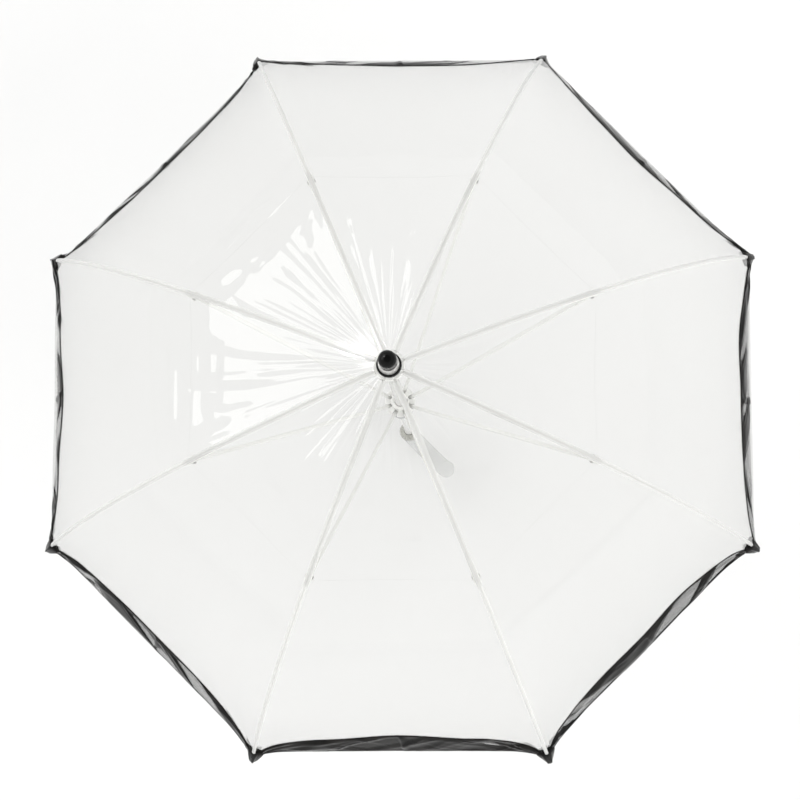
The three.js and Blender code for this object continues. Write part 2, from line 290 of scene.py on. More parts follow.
def film_material(name="clear_film", milk=0.01, haze=0.015, tint=0.945, face_on=0.032, white=0.9):
    """Clear soft vinyl: see-through, with a glossy skin and a little milkiness."""
    n = Nodes(name)
    skin = n.bump(n.noise(45, 2, 0.4), 0.12, 1 * MM)
    clear = n.add("ShaderNodeBsdfTransparent")
    clear.inputs["Color"].default_value = (tint, tint, tint * 0.995, 1)
    n.set(Base_Color=(white, white, white * 0.985, 1), Roughness=0.4, Specular_IOR_Level=0.0)
    gloss = n.add("ShaderNodeBsdfGlossy")
    gloss.inputs["Roughness"].default_value = haze
    n.link(skin, gloss.inputs["Normal"])
    body = n.add("ShaderNodeMixShader")
    body.inputs["Fac"].default_value = milk
    n.link(clear.outputs[0], body.inputs[1])
    n.link(n.shader.outputs[0], body.inputs[2])
    both = n.add("ShaderNodeMixShader")
    n.link(n.mirror(face_on, skin), both.inputs["Fac"])
    n.link(body.outputs[0], both.inputs[1])
    n.link(gloss.outputs[0], both.inputs[2])
    n.link(both.outputs[0], n.output.inputs["Surface"])
    return n.material


def hem_material():
    """Gloss black vinyl: dark face-on, and mirroring where it turns away."""
    n = Nodes("black_vinyl")
    streaks = n.bump(n.noise(90, 2, 0.45), 0.25, 0.8 * MM)
    grain = n.bump(n.noise(1200, 2), 0.1, 0.1 * MM, streaks)
    black = n.ramp(n.noise(60, 3), (0.005, 0.005, 0.005), (0.018, 0.017, 0.016))
    n.link(black, n.shader.inputs["Base Color"])
    n.link(grain, n.shader.inputs["Normal"])
    n.set(Roughness=0.5, Specular_IOR_Level=0.0)
    gloss = n.add("ShaderNodeBsdfGlossy")
    n.link(n.ramp(n.noise(35, 3), 0.1, 0.2), gloss.inputs["Roughness"])
    n.link(grain, gloss.inputs["Normal"])
    both = n.add("ShaderNodeMixShader")
    n.link(n.mirror(0.005, grain, 9), both.inputs["Fac"])
    n.link(n.shader.outputs[0], both.inputs[1])
    n.link(gloss.outputs[0], both.inputs[2])
    n.link(both.outputs[0], n.output.inputs["Surface"])
    return n.material


def painted_white(name="white_enamel", roughness=0.3, low=0.91, high=0.95):
    n = Nodes(name)
    dust = n.noise(90, 5, 0.6)
    n.link(n.ramp(dust, (low, low, low * 0.98), (high, high, high * 0.99)), n.shader.inputs["Base Color"])
    n.link(n.ramp(n.noise(400, 3), roughness - 0.06, roughness + 0.1), n.shader.inputs["Roughness"])
    n.link(n.bump(n.noise(1500, 2), 0.1, 0.1 * MM), n.shader.inputs["Normal"])
    n.set(Coat_Weight=0.3, Coat_Roughness=0.12)
    return n.material


def plastic(name, low, high, roughness, grain=0.12, gloss=0.5, alpha=1.0):
    n = Nodes(name)
    n.link(n.ramp(n.noise(70, 4), low, high), n.shader.inputs["Base Color"])
    n.link(n.ramp(n.noise(300, 3), roughness * 0.8, roughness * 1.3), n.shader.inputs["Roughness"])
    n.link(n.bump(n.noise(1100, 3), grain, 0.12 * MM), n.shader.inputs["Normal"])
    n.set(Specular_IOR_Level=gloss, Alpha=alpha)
    return n.material


def metal(name, low, high, roughness):
    """Brushed round the shaft's axis."""
    n = Nodes(name)
    brush = n.noise(120, 5, 0.7, stretch=(1, 1, 24))
    n.link(n.ramp(brush, low, high), n.shader.inputs["Base Color"])
    n.link(n.ramp(brush, roughness - 0.06, roughness + 0.12), n.shader.inputs["Roughness"])
    n.link(n.bump(brush, 0.15, 0.06 * MM), n.shader.inputs["Normal"])
    n.set(Metallic=1.0)
    return n.material


LOOKS = {
    "film": film_material(),
    "weld": film_material("welded_film", milk=0.4, haze=0.25, tint=0.98, face_on=0.012, white=0.79),
    "washer": film_material("clear_washer", milk=0.12, haze=0.08, tint=0.99),
    "hem": hem_material(),
    "enamel": painted_white(),
    "rod": painted_white("white_rod", 0.36),
    # The stretchers' copy of the white enamel is darker than the ribs': painted shade for the inside of the
    # dome.
    "bar": painted_white("bar_enamel_painted_shade", 0.4, 0.85, 0.89),
    # The shaft's copy of the white enamel is darker still: painted shade, so that its sides read against the
    # bright floor.
    "stick": painted_white("stick_enamel_painted_shade", 0.28, 0.68, 0.74),
    "white_plastic": plastic("white_plastic", (0.86, 0.86, 0.84), (0.91, 0.91, 0.9), 0.32),
    "grey_plastic": plastic("grey_plastic", (0.42, 0.43, 0.44), (0.52, 0.53, 0.54), 0.34),
    "black_plastic": plastic("black_plastic", (0.002, 0.002, 0.002), (0.005, 0.005, 0.005), 0.1, 0.0, 0.11),
    "tip_plastic": plastic("tip_plastic", (0.01, 0.01, 0.011), (0.03, 0.03, 0.031), 0.22, gloss=0.3),
    "smoke": plastic("smoke_plastic", (0.34, 0.34, 0.31), (0.46, 0.46, 0.42), 0.22, alpha=0.94),
    # The crook's see-through grey is partly its frosted plastic and partly painted shadow: it darkens the
    # floor below and right of the collar.
    "frosted": plastic("frosted_plastic", (0.56, 0.57, 0.56), (0.66, 0.67, 0.66), 0.3, gloss=0.3, alpha=0.28),
    "silver": metal("satin_silver", (0.55, 0.54, 0.53), (0.78, 0.77, 0.76), 0.26),
    "steel": metal("spring_steel", (0.35, 0.34, 0.34), (0.6, 0.59, 0.58), 0.3),
}

# ---------------------------------------------------------------- mesh helpers


def piece(name, points, faces, look_name, body, smooth=True):
    """A new piece from points in the row frame, which rides on a CAD body."""
    mesh = bpy.data.meshes.new(name)
    mesh.from_pydata([tuple(p) for p in points], [], faces)
    tidy = bmesh.new()
    tidy.from_mesh(mesh)
    bmesh.ops.recalc_face_normals(tidy, faces=tidy.faces)
    tidy.to_mesh(mesh)
    tidy.free()
    if smooth:
        mesh.shade_smooth()
        mesh.set_sharp_from_angle(angle=math.radians(50))
    mesh.materials.append(LOOKS[look_name])
    made = bpy.data.objects.new(name, mesh)
    bpy.context.scene.collection.objects.link(made)
    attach(made, body)
    return made


def crease(made, width, segments=2, angle=35):
    """Small round edges wherever faces meet sharply."""
    bevel = made.modifiers.new("edges", "BEVEL")
    bevel.width = width
    bevel.segments = segments
    bevel.limit_method = "ANGLE"
    bevel.angle_limit = math.radians(angle)
    bevel.harden_normals = False
    return made


def loft(rings, closed_ends=True):
    """Points and faces of a skin over rings of equally many points."""
    size = len(rings[0])
    points = [p for r in rings for p in r]
    faces = []
    for k in range(len(rings) - 1):
        for i in range(size):
            j = (i + 1) % size
            faces.append((k * size + i, k * size + j, (k + 1) * size + j, (k + 1) * size + i))
    if closed_ends:
        last = (len(rings) - 1) * size
        faces.append(tuple(range(size)))
        faces.append(tuple(last + i for i in range(size)))
    return points, faces


def revolve(profile, sides=64, angles=None, reach=None):
    """Points and faces of (radius, z) points turned about the shaft's axis, closed on itself.

    reach(radius, z, angle), if it is given, changes the radius, for notches and flutes.
    """
    if angles is None:
        angles = [2 * math.pi * i / sides for i in range(sides)]
    count = len(profile)
    points = []
    for a in angles:
        for r, z in profile:
            size = reach(r, z, a) if reach else r
            points.append((size * math.cos(a), size * math.sin(a), z))
    faces = []
    for i in range(len(angles)):
        j = (i + 1) % len(angles)
        for k in range(count):
            m = (k + 1) % count
            faces.append((i * count + k, j * count + k, j * count + m, i * count + m))
    return points, faces


def rounded(profile, radius, steps=4):
    """A closed outline with its corners rounded."""
    result = []
    count = len(profile)
    for i in range(count):
        corner = np.array(profile[i], float)
        before = np.array(profile[i - 1], float) - corner
        after = np.array(profile[(i + 1) % count], float) - corner
        reach = min(radius, 0.45 * np.linalg.norm(before), 0.45 * np.linalg.norm(after))
        start = corner + reach * before / np.linalg.norm(before)
        end = corner + reach * after / np.linalg.norm(after)
        for t in np.linspace(0, 1, steps + 1):
            point = (1 - t) ** 2 * start + 2 * t * (1 - t) * corner + t**2 * end
            result.append((float(point[0]), float(point[1])))
    return result


def turned(point, azimuth):
    x, y, z = point
    c, s = math.cos(azimuth), math.sin(azimuth)
    return (x * c - y * s, x * s + y * c, z)


def smoothstep(x):
    x = np.clip(x, 0, 1)
    return x * x * (3 - 2 * x)


# ---------------------------------------------------------------- the film's shape


def hashed(ix, iy, seed):
    """A repeatable number from 0 to 1 for each whole-number cell."""
    value = np.sin(ix * 127.1 + iy * 311.7 + seed * 74.7) * 43758.5453
    return value - np.floor(value)


def value_noise(x, y, seed):
    """Smooth noise from -1 to 1 with cells of size 1."""
    ix, iy = np.floor(x), np.floor(y)
    fx, fy = smoothstep(x - ix), smoothstep(y - iy)
    a, b = hashed(ix, iy, seed), hashed(ix + 1, iy, seed)
    c, d = hashed(ix, iy + 1, seed), hashed(ix + 1, iy + 1, seed)
    return 2 * ((a + (b - a) * fx) * (1 - fy) + (c + (d - c) * fx) * fy) - 1


def ridge(distance, width):
    """A crease's cross-section: 1 at its line, fading over its width."""
    return np.exp(-((distance / width) ** 2))


def pick(seed, low, high):
    """A repeatable number between low and high."""
    return low + (high - low) * float(hashed(np.float64(seed), np.float64(seed * 0.37), 3))


def gathers(gore, arc, across, width):
    """Creases that fan out from the crown, each with its own place, length and direction."""
    total = 0
    for k in range(GATHERS):
        seed = 17 * gore + 3 * k
        place = -0.92 + 1.84 * (k + pick(seed, 0.1, 0.9)) / GATHERS
        lean = pick(seed + 1, -0.5, 0.5)
        length = pick(seed + 2, 60, 215) * MM
        height = pick(seed + 3, 0.4, 1.0) * (1 if pick(seed + 4, 0, 1) > 0.35 else -1)
        distance = (across - place - lean * arc) * width
        wide = 0.6 * MM + 0.0105 * arc
        fade = smoothstep((length - arc) / (0.5 * length)) * smoothstep(arc / (16 * MM))
        total = total + 0.85 * height * wide * ridge(distance, wide) * fade
    return total


def cross_creases(gore, arc, across, width, joint_arc):
    """Short straight creases across the panel about the joint line, where it is folded."""
    total = 0
    for k in range(CROSS_CREASES):
        seed = 400 + 23 * gore + 5 * k
        place = joint_arc + pick(seed, -75, 30) * MM
        middle = pick(seed + 1, -0.6, 0.6)
        reach = pick(seed + 2, 0.25, 0.6)
        lean = pick(seed + 3, -0.06, 0.06)
        wide = pick(seed + 4, 2.2, 5.5) * MM
        distance = arc - place - lean * across * width
        fade = smoothstep((reach - np.abs(across - middle)) / 0.2)
        total = total + pick(seed + 5, -0.14, 0.14) * wide * ridge(distance, wide) * fade
    return total


def film_relief(gore, slope, across):
    """How far the film of a gore stands out from its flat panel; across runs from -1 to 1."""
    radius, _ = on_arc(slope)
    arc = (slope - ARC_START_SLOPE) * ARC_RADIUS
    joint_arc = (JOINT_SLOPE - ARC_START_SLOPE) * ARC_RADIUS
    end_arc = (HEM_END_SLOPE - ARC_START_SLOPE) * ARC_RADIUS
    width = radius * math.sin(HALF_PITCH)
    held = np.clip(1 - across**2, 0, 1)
    # Tension between the ribs pulls the middle of the panel in a little.
    sag = -3.0 * MM * held * np.sin(np.pi * np.clip(arc / end_arc, 0, 1)) ** 0.8
    below_joint = smoothstep((arc - joint_arc) / (end_arc - joint_arc))
    sag = sag - RIM_SAG[gore] * MM * (1 - np.abs(across) ** (3 + 10 * below_joint**2)) * below_joint**2
    # Broad facets between the gathers.
    drift = 0.2 * value_noise(across * 2 + gore * 3.1, arc / (120 * MM), 1)
    broad = value_noise((across + drift) * 2.6 + 11 * gore, arc / (130 * MM), 2 + gore)
    narrow = value_noise((across + drift) * 5.7 + 5 * gore, arc / (95 * MM), 30 + gore)
    fade = smoothstep((272 * MM - arc) / (170 * MM))
    facets = width * (0.054 * broad * fade + 0.046 * narrow * fade**1.3)
    near_joint = ridge(arc - joint_arc + 45 * MM, 60 * MM)
    level = arc / (17 * MM) + 0.6 * value_noise(across * 1.3, arc / (60 * MM), 40 + gore)
    bands = 1.2 * MM * value_noise(level, across * 1.4 + 7 * gore, 50 + gore) * near_joint
    fold = -0.18 * MM * np.exp(-np.abs(arc - joint_arc) / (6 * MM))
    # Diagonal creases that run in from the two hem corners.
    corners = 0
    for side in (-1, 1):
        x = (1 - side * across) * width
        y = end_arc - arc
        reach = np.sqrt(x**2 + y**2)
        angle = np.arctan2(y, x + 1e-6)
        rays = value_noise(angle * 8 + 3 * gore, reach / (90 * MM), 60 + gore + 5 * side)
        corners = corners + rays * np.exp(-reach / (55 * MM)) * smoothstep(reach / (25 * MM)) * 2.2 * MM
    # Long soft waves left from storage.
    waves = 0.9 * MM * value_noise(arc / (110 * MM) + gore, across * width / (80 * MM), 80 + gore)
    creases = gathers(gore, arc, across, width) + cross_creases(gore, arc, across, width, joint_arc)
    return sag + held**0.5 * (facets + bands + fold + waves + creases) + corners * held**0.3


def film_point(gore, slope, across, lift=0.0):
    """Points of a gore's film in the row frame, from arrays of slope and across."""
    offset = FILM_OFFSET + film_relief(gore, slope, across) + lift
    radius, z = on_arc(slope, offset)
    edge_radius, _ = on_arc(slope, FILM_OFFSET + lift)
    x = radius * math.cos(HALF_PITCH)
    y = across * edge_radius * math.sin(HALF_PITCH)
    a = gore * PITCH
    c, s = math.cos(a), math.sin(a)
    return np.stack([x * c - y * s, x * s + y * c, z], axis=-1)


def shell(rows, lift_low, lift_high, surface):
    """Points and faces of a thin closed sheet; surface(slopes, acrosses, lift) gives its points."""
    slopes, acrosses = rows
    tall, wide = slopes.shape
    low = surface(slopes, acrosses, lift_low).reshape(-1, 3)
    high = surface(slopes, acrosses, lift_high).reshape(-1, 3)
    points = np.concatenate([low, high])
    faces = []
    n = tall * wide
    for i in range(tall - 1):
        for j in range(wide - 1):
            p = i * wide + j
            quad = (p, p + 1, p + wide + 1, p + wide)
            faces.append(tuple(n + q for q in quad))
            faces.append(tuple(reversed(quad)))
    rim = list(range(wide))
    rim += [i * wide + wide - 1 for i in range(1, tall)]
    rim += [(tall - 1) * wide + j for j in range(wide - 2, -1, -1)]
    rim += [i * wide for i in range(tall - 2, 0, -1)]
    for p, q in zip(rim, rim[1:] + rim[:1]):
        faces.append((p, q, n + q, n + p))
    return points, faces


def hem_height(gore, across):
    """The hem is full in the middle of an edge, narrow near a corner and deeper over its rib."""
    t = np.abs(across)
    slack = 0.16 * value_noise(across * 2.4 + 5 * gore, 0 * across, 140 + gore) * (1 - t**4)
    return HEM_HEIGHT * (0.28 + 0.88 * (1 - t**3.2) + slack) + 10 * MM * smoothstep((t - 0.93) / 0.07)


def hem_end(across):
    """The slope of the hem's lower edge, which runs on over the tips at the corners."""
    return HEM_END_SLOPE + 7 * MM * smoothstep((np.abs(across) - 0.92) / 0.08) / ARC_RADIUS


def spaced_rows(first, last, across_count, step):
    steps = round((last - first) * ARC_RADIUS / step)
    slopes = np.linspace(first, last, steps + 1)
    acrosses = np.linspace(-1, 1, across_count + 1)
    return np.meshgrid(slopes, acrosses, indexing="ij")


def squeeze(made):
    """Gives a piece its own copy of its mesh."""
    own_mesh(made)


def film_panel(gore, name, first, last, across_count, step, body, node):
    rows = spaced_rows(first, last, across_count, step)
    half = FILM_THICKNESS / 2

    def surface(slopes, acrosses, lift):
        return film_point(gore, slopes, acrosses, lift)

    points, faces = shell(rows, -half, half, surface)
    made = piece(name, points, faces, "film", body)
    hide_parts(node)
    squeeze(made)


def make_film():
    for gore in range(RIBS):
        number = gore + 1
        film_panel(gore, f"film_upper_{number}", FILM_START_SLOPE, JOINT_SLOPE, 104, FINE_STEP,
                   f"gore_upper_{number}", f"canopy_upper_{number}")
        last = HEM_END_SLOPE - 8 * MM / ARC_RADIUS
        film_panel(gore, f"film_lower_{number}", JOINT_SLOPE, last, 96, FILM_STEP,
                   f"gore_lower_{number}", f"canopy_lower_{number}")


def hem_relief(gore, slopes, acrosses):
    """Diagonal folds of the binding, gathers at its corners and the lap where it is joined."""
    along = acrosses * 165 * MM
    down = (HEM_END_SLOPE - slopes) * ARC_RADIUS
    drift = 12 * MM * value_noise(along / (70 * MM), down / (40 * MM), 100 + gore)
    turn = value_noise(along / (60 * MM), 0 * down, 105 + gore)
    folds = 0
    for side in (-1, 1):
        phase = (along + side * 1.15 * down + drift) / (24 * MM)
        wave = value_noise(phase, down / (150 * MM), 110 + gore + 5 * side)
        crest = (1 - np.abs(wave)) ** 7
        folds = folds + (1.5 * wave + 0.7 * crest) * smoothstep(0.5 + 1.2 * side * turn)
    gather = smoothstep((np.abs(acrosses) - 0.82) / 0.18)
    pleats = value_noise(along / (6 * MM), down / (45 * MM), 130 + gore) * gather
    lap_place = pick(900 + gore, -0.06, 0.06) * 165 * MM - 0.08 * down
    lap = smoothstep((along - lap_place) / (1.4 * MM)) * smoothstep((lap_place + 11 * MM - along) / (8 * MM))
    return (1.5 * folds + 1.1 * pleats + 1.1 * lap) * MM


def make_hem():
    for gore in range(RIBS):
        number = gore + 1
        rows = np.meshgrid(np.linspace(0, 1, 31), np.linspace(-1, 1, 241), indexing="ij")

        def surface(downs, acrosses, lift):
            height = hem_height(gore, acrosses)
            slopes = hem_end(acrosses) - (1 - downs) * height / ARC_RADIUS
            edge = np.minimum(np.minimum(downs, 1 - downs) * height / (2 * MM), 1)
            inside = smoothstep(downs / 0.2) * (0.15 + 0.85 * smoothstep((1 - downs) / 0.3))
            tuck = HEM_LEAN[gore] * MM * downs**1.5 * (1 - acrosses**6)
            relief = hem_relief(gore, slopes, acrosses) * inside
            swell = lift * (0.35 + 0.65 * edge) + relief + 0.4 * MM - tuck
            normal = np.stack([np.sin(slopes) * math.cos(gore * PITCH),
                               np.sin(slopes) * math.sin(gore * PITCH), np.cos(slopes)], axis=-1)
            return film_point(gore, slopes, acrosses) + normal * swell[..., None]

        points, faces = shell(rows, -HEM_THICKNESS / 2, HEM_THICKNESS / 2, surface)
        made = piece(f"hem_{number}", points, faces, "hem", f"gore_lower_{number}")
        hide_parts(f"hem_band_{number}")
        squeeze(made)


# ---------------------------------------------------------------- ribs, rods and stretchers


def channel_section(width, height, wall, open_up=False):
    half = width / 2
    up = -1 if open_up else 1
    corners = [(-half, 0), (-half, -height), (wall - half, -height), (wall - half, -wall),
               (half - wall, -wall), (half - wall, -height), (half, -height), (half, 0)]
    return rounded([(x, y * up) for x, y in corners], 0.35 * wall, 2)


def along_arc(section, slopes, azimuth, width_share=None, depth=0.0, size=None):
    rings = []
    for k, slope in enumerate(slopes):
        share = 1.0 if width_share is None else width_share[k]
        grow = 1.0 if size is None else size[k]
        ring = []
        for across, up in section:
            radius, z = on_arc(slope, up * grow - depth)
            ring.append(turned((float(radius), across * share * grow, float(z)), azimuth))
        rings.append(ring)
    return loft(rings)


def circle_section(radius, sides):
    angles = [2 * math.pi * i / sides for i in range(sides)]
    return [(radius * math.cos(a), radius * math.sin(a)) for a in angles]


def make_rib(i):
    number = i + 1
    azimuth = (i + 0.5) * PITCH
    section = channel_section(4.4 * MM, 4 * MM, 0.8 * MM)
    tongue_start = ARC_START_SLOPE - 2.5 * MM / ARC_RADIUS
    tongue_end = slope_at_radius(16.5 * MM)
    full = slope_at_radius(20.5 * MM)
    joint_end = JOINT_SLOPE - 1 * MM / ARC_RADIUS
    slopes = [tongue_start, *np.linspace(tongue_start, tongue_end, 4)[1:], *np.linspace(full, joint_end, 44)]
    shares = [0.4] + [0.5] * 3 + [1.0] * 44
    points, faces = along_arc(section, slopes, azimuth, width_share=shares)
    rib = piece(f"rib_channel_{number}", points, faces, "enamel", f"rib_upper_{number}")
    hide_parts(f"rib_upper_{number}")
    crease(rib, 0.15 * MM)


def make_rod(i):
    number = i + 1
    azimuth = (i + 0.5) * PITCH
    start = JOINT_SLOPE + 1 * MM / ARC_RADIUS
    end = TIP_SLOPE - 4 * MM / ARC_RADIUS
    slopes = np.linspace(start, end, 60)
    points, faces = along_arc(circle_section(1.6 * MM, 16), slopes, azimuth, depth=2.2 * MM)
    rod = piece(f"rib_rod_{number}", points, faces, "rod", f"rib_lower_{number}")
    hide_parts(f"rib_lower_{number}")
    # The tip: a black cap with a neck, a shoulder and a round end.
    arcs = [-15, -14.6, -12, -9, -7, -5.6, -4, -2.4, -1.0, -0.2, 0]
    radii = [1.7, 2.1, 2.3, 2.5, 2.9, 3.3, 3.45, 3.3, 2.6, 1.5, 0.5]
    slopes = [TIP_SLOPE + a * MM / ARC_RADIUS for a in arcs]
    points, faces = along_arc(circle_section(MM, 28), slopes, azimuth, depth=2.2 * MM, size=radii)
    piece(f"rib_tip_{number}", points, faces, "tip_plastic", f"rib_lower_{number}")


def make_sleeve(i):
    """The moulded sleeve where the channel takes the rod and the stretcher, with its rivet."""
    number = i + 1
    azimuth = (i + 0.5) * PITCH
    arcs = [-34, -33.4, -31, -20, -8, -4, 0, 4, 6, 7, 7.4]
    sizes = [0.72, 0.92, 1.0, 1.04, 1.1, 1.22, 1.25, 1.16, 1.0, 0.9, 0.7]
    section = rounded([(-2.7, 0.45), (-2.7, -4.2), (2.7, -4.2), (2.7, 0.45)], 1.3, 5)
    section = [(x * MM, y * MM) for x, y in section]
    slopes = [JOINT_SLOPE + a * MM / ARC_RADIUS for a in arcs]
    points, faces = along_arc(section, slopes, azimuth, width_share=sizes)
    piece(f"joint_sleeve_{number}", points, faces, "white_plastic", f"rib_upper_{number}")
    # The rivet runs through the sleeve's cheek and the stretcher, across the rib.
    radius, z = on_arc(JOINT_SLOPE, -STRETCHER_DEPTH)
    profile = [(-4.2, 0.2), (-4.2, 1.3), (-3.9, 1.9), (-3.4, 2.1), (-3.2, 1.2),
               (3.2, 1.2), (3.4, 2.1), (3.9, 1.9), (4.2, 1.3), (4.2, 0.2)]
    rings = []
    for along, size in profile:
        ring = []
        for k in range(20):
            a = 2 * math.pi * k / 20
            local = (float(radius) + size * MM * math.cos(a), along * MM, float(z) + size * MM * math.sin(a))
            ring.append(turned(local, azimuth))
        rings.append(ring)
    points, faces = loft(rings)
    piece(f"joint_rivet_{number}", points, faces, "steel", f"rib_upper_{number}")


def make_stretcher(i):
    """A pressed channel with round ends, from the joint to the runner."""
    number = i + 1
    azimuth = (i + 0.5) * PITCH
    top_radius, top_z = (float(v) for v in on_arc(JOINT_SLOPE, -STRETCHER_DEPTH))
    foot = np.array([STRETCHER_FOOT_RADIUS, PIVOT_Z])
    top = np.array([top_radius, top_z])
    length = float(np.linalg.norm(foot - top))
    direction = (foot - top) / length
    normal = np.array([direction[1], -direction[0]])
    if normal[1] < 0:
        normal = -normal
    half_height = 2.2 * MM
    stations = [-2.2, -1.9, -1.2, 0, 4, 9, 14]
    heights = [0.35, 0.75, 0.95, 1, 1, 1, 1]
    widths = [0.9, 0.95, 1, 1, 1, 1.08, 1.1]
    places = [s * MM for s in stations] + [length / 2] + [length - s * MM for s in reversed(stations)]
    heights = heights + [1] + heights[::-1]
    widths = widths + [1.1] + widths[::-1]
    section = channel_section(3.2 * MM, 2 * half_height, 0.7 * MM)
    rings = []
    for place, height, width in zip(places, heights, widths):
        ring = []
        for across, up in section:
            point = top + direction * place + normal * (up + half_height) * height
            ring.append(turned((float(point[0]), across * width, float(point[1])), azimuth))
        rings.append(ring)
    points, faces = loft(rings)
    bar = piece(f"stretcher_bar_{number}", points, faces, "bar", f"stretcher_{number}")
    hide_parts(f"stretcher_{number}")


def make_weld(i):
    """The welded seam over a rib, one bead to the joint and one beyond it."""
    number = i + 1
    azimuth = (i + 0.5) * PITCH
    spans = {
        "upper": (slope_at_radius(15 * MM), JOINT_SLOPE),
        "lower": (JOINT_SLOPE, HEM_END_SLOPE - 28 * MM / ARC_RADIUS),
    }
    for part, (first, last) in spans.items():
        steps = round((last - first) * ARC_RADIUS / (3 * MM))
        rows = np.meshgrid(np.linspace(first, last, steps), np.linspace(-1, 1, 13), indexing="ij")

        def surface(slopes, acrosses, lift):
            radius, z = on_arc(slopes, FILM_OFFSET + lift * (1.15 - acrosses**2) + 0.2 * MM)
            width = WELD_WIDTH * (1 - 0.4 * radius / on_arc(HEM_END_SLOPE)[0])
            y = acrosses * np.minimum(width / 2, radius * math.tan(HALF_PITCH) * 0.6)
            # The bead lies on both gores, so it falls away from the ridge on each side.
            x = radius - np.sqrt(y**2 + (0.6 * MM) ** 2) * math.tan(HALF_PITCH) + 0.25 * MM
            c, s = math.cos(azimuth), math.sin(azimuth)
            return np.stack([x * c - y * s, x * s + y * c, z], axis=-1)

        points, faces = shell(rows, -0.15 * MM, 0.35 * MM, surface)
        piece(f"weld_{part}_{number}", points, faces, "weld", f"rib_{part}_{number}")


def make_pocket(i):
    """The hem folded into a beak over a rib's tip."""
    number = i + 1
    azimuth = (i + 0.5) * PITCH
    arcs = np.array([-34, -33, -29, -24, -18, -12, -7, -3, 0, 1.6, 2.4])
    widths = np.array([5.0, 7.6, 9.6, 9.4, 8.2, 7.0, 5.9, 5.2, 4.4, 3.1, 1.6])
    heights = np.array([0.9, 1.6, 2.2, 2.7, 3.2, 3.6, 3.9, 4.1, 3.8, 2.9, 1.4])
    rings = []
    sides = 56
    for arc, width, height in zip(arcs, widths, heights):
        slope = TIP_SLOPE + arc * MM / ARC_RADIUS
        ring = []
        for k in range(sides):
            a = 2 * math.pi * k / sides
            coarse = 0.10 * math.sin(7 * a + i) * smoothstep((arc + 42) / 12)
            pleat = 1 + coarse + 0.05 * math.sin(13 * a + 2 * i)
            across = width * MM * math.cos(a) * pleat
            up = (height + 0.7) * MM * math.sin(a) * pleat if math.sin(a) > 0 else 4.4 * MM * math.sin(a)
            drop = abs(across) * math.tan(HALF_PITCH)
            radius, z = on_arc(slope, up)
            ring.append(turned((float(radius) - drop, across, float(z)), azimuth))
        rings.append(ring)
    points, faces = loft(rings)
    piece(f"corner_pocket_{number}", points, faces, "hem", f"rib_lower_{number}")


# ---------------------------------------------------------------- crown, shaft and runner


def turned_piece(name, profile, look_name, body, node=None, rounding=0.4 * MM, sides=72):
    points, faces = revolve(rounded(profile, rounding), sides)
    made = piece(name, points, faces, look_name, body)
    if node:
        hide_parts(node)
    return made


def make_ferrule():
    c = CROWN_Z
    washer = [(BORE, c - 5.6 * MM), (15 * MM, c - 5.6 * MM), (15 * MM, c - 4.1 * MM), (BORE, c - 4.1 * MM)]
    turned_piece("washer", washer, "washer", "root", "crown_washer")
    base = [(BORE, c - 3.8 * MM), (11.2 * MM, c - 3.8 * MM), (12 * MM, c - 3 * MM), (12 * MM, c + 1.5 * MM),
            (10.6 * MM, c + 3.7 * MM), (BORE, c + 3.7 * MM)]
    turned_piece("base_ring", base, "black_plastic", "root", "ferrule_base", 0.9 * MM)
    collar = [(BORE, c + 4 * MM), (10 * MM, c + 4 * MM), (9.2 * MM, c + 25.7 * MM), (BORE, c + 25.7 * MM)]
    turned_piece("silver_collar", collar, "silver", "root", "ferrule_collar", 0.5 * MM)
    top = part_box("ferrule_cap")[1].z
    centre, size = c + 42 * MM, 8.6 * MM
    dome = [math.radians(a) for a in range(0, 71, 5)]
    outline = [(0.05 * MM, c + 26 * MM), (size - 0.4 * MM, c + 26 * MM), (size, c + 27 * MM)]
    outline += [(size * math.cos(a), centre + size * math.sin(a)) for a in dome]
    outline += [(1.6 * MM, top - 0.02 * MM), (0.05 * MM, top)]
    points, faces = revolve(outline, 96)
    cap = piece("ferrule_dome", points, faces, "black_plastic", "root")
    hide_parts("ferrule_cap")


def wire_ring(name, radius, z, thickness, body):
    outline = [(radius + thickness * math.cos(a), z + thickness * math.sin(a))
               for a in [2 * math.pi * k / 12 for k in range(12)]]
    points, faces = revolve(outline, 72)
    piece(name, points, faces, "steel", body)


def notch_angles(half_angle, extra=()):
    """Angles round the axis with a close pair at each side of each rib's notch."""
    step = math.radians(3)
    angles = [k * step for k in range(round(2 * math.pi / step))]
    for i in range(RIBS):
        middle = (i + 0.5) * PITCH
        for side in (-1, 1):
            angles += [middle + side * half_angle, middle + side * (half_angle + math.radians(0.4))]
    angles += list(extra)
    return sorted(a % (2 * math.pi) for a in angles)


def from_rib(angle):
    """The angle from the nearest rib."""
    return abs((angle + 1e-9) % PITCH - HALF_PITCH)


def keyed(angle):
    """The runner's bore, with the keyway that passes over the catches on the +X side."""
    a = abs((angle + math.pi) % (2 * math.pi) - math.pi)
    if a <= math.atan(KEYWAY_HALF / KEYWAY_DEPTH):
        return KEYWAY_DEPTH / math.cos(a)
    return max(BORE, KEYWAY_HALF / math.sin(a)) if a < math.pi / 2 else BORE


def make_hub():
    top, bottom = CROWN_Z - 6 * MM, CROWN_Z - 16.5 * MM
    web, half = 7.4 * MM, math.radians(8.5)
    outline = [(BORE, bottom), (14.5 * MM, bottom), (14.5 * MM, top), (BORE, top)]

    def reach(r, z, angle):
        return min(r, web) if from_rib(angle) <= half + 1e-6 else r

    points, faces = revolve(rounded(outline, 0.7 * MM), angles=notch_angles(half), reach=reach)
    hub = piece("hub", points, faces, "white_plastic", "root")
    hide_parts("crown_hub")


